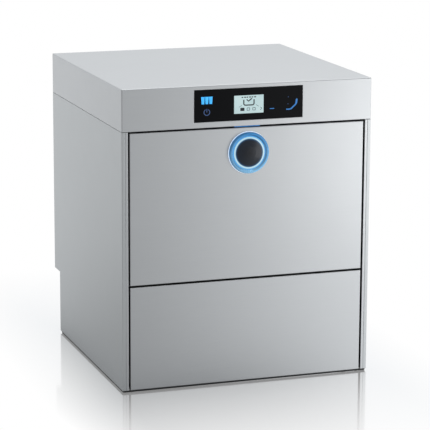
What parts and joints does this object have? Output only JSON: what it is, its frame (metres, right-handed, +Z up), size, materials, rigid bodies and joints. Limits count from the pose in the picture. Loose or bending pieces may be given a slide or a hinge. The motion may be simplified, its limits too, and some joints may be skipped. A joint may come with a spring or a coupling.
{
  "type": "undercounter glass washer",
  "caption": "Box-shaped front-loading glass washer in satin steel with a drop-down door, a touch panel in the lid's front, a round door lamp, spray arms, pumps and heaters.",
  "frame": {"origin": "on the floor, at the middle of the cabinet's footprint", "axes": "+X to the machine's right as seen from the front, +Y to its back, +Z up; the door faces -Y"},
  "size_m": [0.6, 0.6112, 0.7],
  "materials": {
    "casing_steel": "satin",
    "inner_steel": "satin",
    "steel_fittings": "satin",
    "zinc_frame": "satin",
    "foot_plastic": "matte",
    "seal_rubber": "matte",
    "hose_rubber": "matte",
    "panel_glass": "gloss",
    "display": "gloss",
    "lamp_bezel": "gloss",
    "lamp_lens": "gloss",
    "light_bar": "gloss",
    "arm_plastic": "satin",
    "pump_plastic": "satin",
    "motor_metal": "satin",
    "box_plastic": "matte",
    "board": "satin"
  },
  "bodies": {
    "cabinet": {"base_frame": "zinc_frame", "side_panel_left": "casing_steel", "side_panel_right": "casing_steel", "front_posts": "casing_steel", "rear_panel_upper": "casing_steel", "rear_panel_lower": "casing_steel", "top_cover": "casing_steel", "lower_front_panel": "casing_steel", "panel_screws": "steel_fittings", "wash_chamber": "inner_steel", "wash_tank": "inner_steel", "door_seal": "seal_rubber", "rack_rails": "inner_steel", "strainer_plates": "inner_steel", "strainer_basket": "inner_steel", "lower_spindle": "arm_plastic", "upper_spindle": "arm_plastic", "arm_nuts": "arm_plastic", "hinge_pins": "steel_fittings", "door_springs": "steel_fittings", "wash_pump_housing": "pump_plastic", "wash_pump_motor": "motor_metal", "support_saddles": "zinc_frame", "suction_hose": "hose_rubber", "wash_pipes": "pump_plastic", "rinse_pipe": "hose_rubber", "boiler": "inner_steel", "boiler_heater": "steel_fittings", "tank_heater": "steel_fittings", "drain_pump": "pump_plastic", "drain_hose": "hose_rubber", "drain_spigot": "pump_plastic", "inlet_valve": "pump_plastic", "cable_gland": "pump_plastic", "booster_pump": "motor_metal", "dosing_pumps": "box_plastic", "break_tank": "box_plastic", "control_glass": "panel_glass", "display_module": "display", "control_housing": "box_plastic", "control_board": "board", "electrical_box": "box_plastic"},
    "door": {"door_outer_panel": "casing_steel", "door_inner_panel": "inner_steel", "hinge_arms": "steel_fittings", "status_lamp_bezel": "lamp_bezel", "status_lamp_lens": "lamp_lens", "door_light_bar": "light_bar"},
    "lower_wash_arm": {"lower_wash_arm": "arm_plastic"},
    "upper_wash_arm": {"upper_wash_arm": "arm_plastic"},
    "lower_rinse_arm": {"lower_rinse_arm": "inner_steel"},
    "upper_rinse_arm": {"upper_rinse_arm": "inner_steel"},
    "wash_pump_rotor": {"wash_pump_rotor": "motor_metal"},
    "drain_pump_rotor": {"drain_pump_rotor": "pump_plastic"},
    "detergent_pump_rotor": {"detergent_pump_rotor": "pump_plastic"},
    "rinse_aid_pump_rotor": {"rinse_aid_pump_rotor": "pump_plastic"},
    "foot_front_left": {"foot_front_left": "foot_plastic"},
    "foot_front_right": {"foot_front_right": "foot_plastic"},
    "foot_rear_left": {"foot_rear_left": "foot_plastic"},
    "foot_rear_right": {"foot_rear_right": "foot_plastic"}
  },
  "joints": [
    {"name": "door_hinge", "type": "hinge", "parent": "cabinet", "child": "door", "pos_m": [0, -0.293, 0.259], "axis": [1, 0, 0], "range_deg": [0, 90], "deforming": ["door_springs"]},
    {"name": "lower_wash_arm_turn", "type": "hinge", "parent": "cabinet", "child": "lower_wash_arm", "pos_m": [0, -0.007, 0.247], "axis": [0, 0, 1], "continuous": true},
    {"name": "lower_rinse_arm_turn", "type": "hinge", "parent": "cabinet", "child": "lower_rinse_arm", "pos_m": [0, -0.007, 0.266], "axis": [0, 0, 1], "continuous": true},
    {"name": "upper_wash_arm_turn", "type": "hinge", "parent": "cabinet", "child": "upper_wash_arm", "pos_m": [0, -0.007, 0.637], "axis": [0, 0, 1], "continuous": true},
    {"name": "upper_rinse_arm_turn", "type": "hinge", "parent": "cabinet", "child": "upper_rinse_arm", "pos_m": [0, -0.007, 0.618], "axis": [0, 0, 1], "continuous": true},
    {"name": "wash_pump_turn", "type": "hinge", "parent": "cabinet", "child": "wash_pump_rotor", "pos_m": [0, 0.142, 0.088], "axis": [1, 0, 0], "continuous": true},
    {"name": "drain_pump_turn", "type": "hinge", "parent": "cabinet", "child": "drain_pump_rotor", "pos_m": [-0.13, -0.06, 0.082], "axis": [0, 1, 0], "continuous": true},
    {"name": "detergent_pump_turn", "type": "hinge", "parent": "cabinet", "child": "detergent_pump_rotor", "pos_m": [-0.235, -0.26, 0.11], "axis": [0, 1, 0], "continuous": true},
    {"name": "rinse_aid_pump_turn", "type": "hinge", "parent": "cabinet", "child": "rinse_aid_pump_rotor", "pos_m": [-0.155, -0.26, 0.11], "axis": [0, 1, 0], "continuous": true},
    {"name": "foot_front_left_height", "type": "slide", "parent": "cabinet", "child": "foot_front_left", "axis": [0, 0, -1], "range_m": [0, 0.025]},
    {"name": "foot_front_right_height", "type": "slide", "parent": "cabinet", "child": "foot_front_right", "axis": [0, 0, -1], "range_m": [0, 0.025]},
    {"name": "foot_rear_left_height", "type": "slide", "parent": "cabinet", "child": "foot_rear_left", "axis": [0, 0, -1], "range_m": [0, 0.025]},
    {"name": "foot_rear_right_height", "type": "slide", "parent": "cabinet", "child": "foot_rear_right", "axis": [0, 0, -1], "range_m": [0, 0.025]}
  ]
}
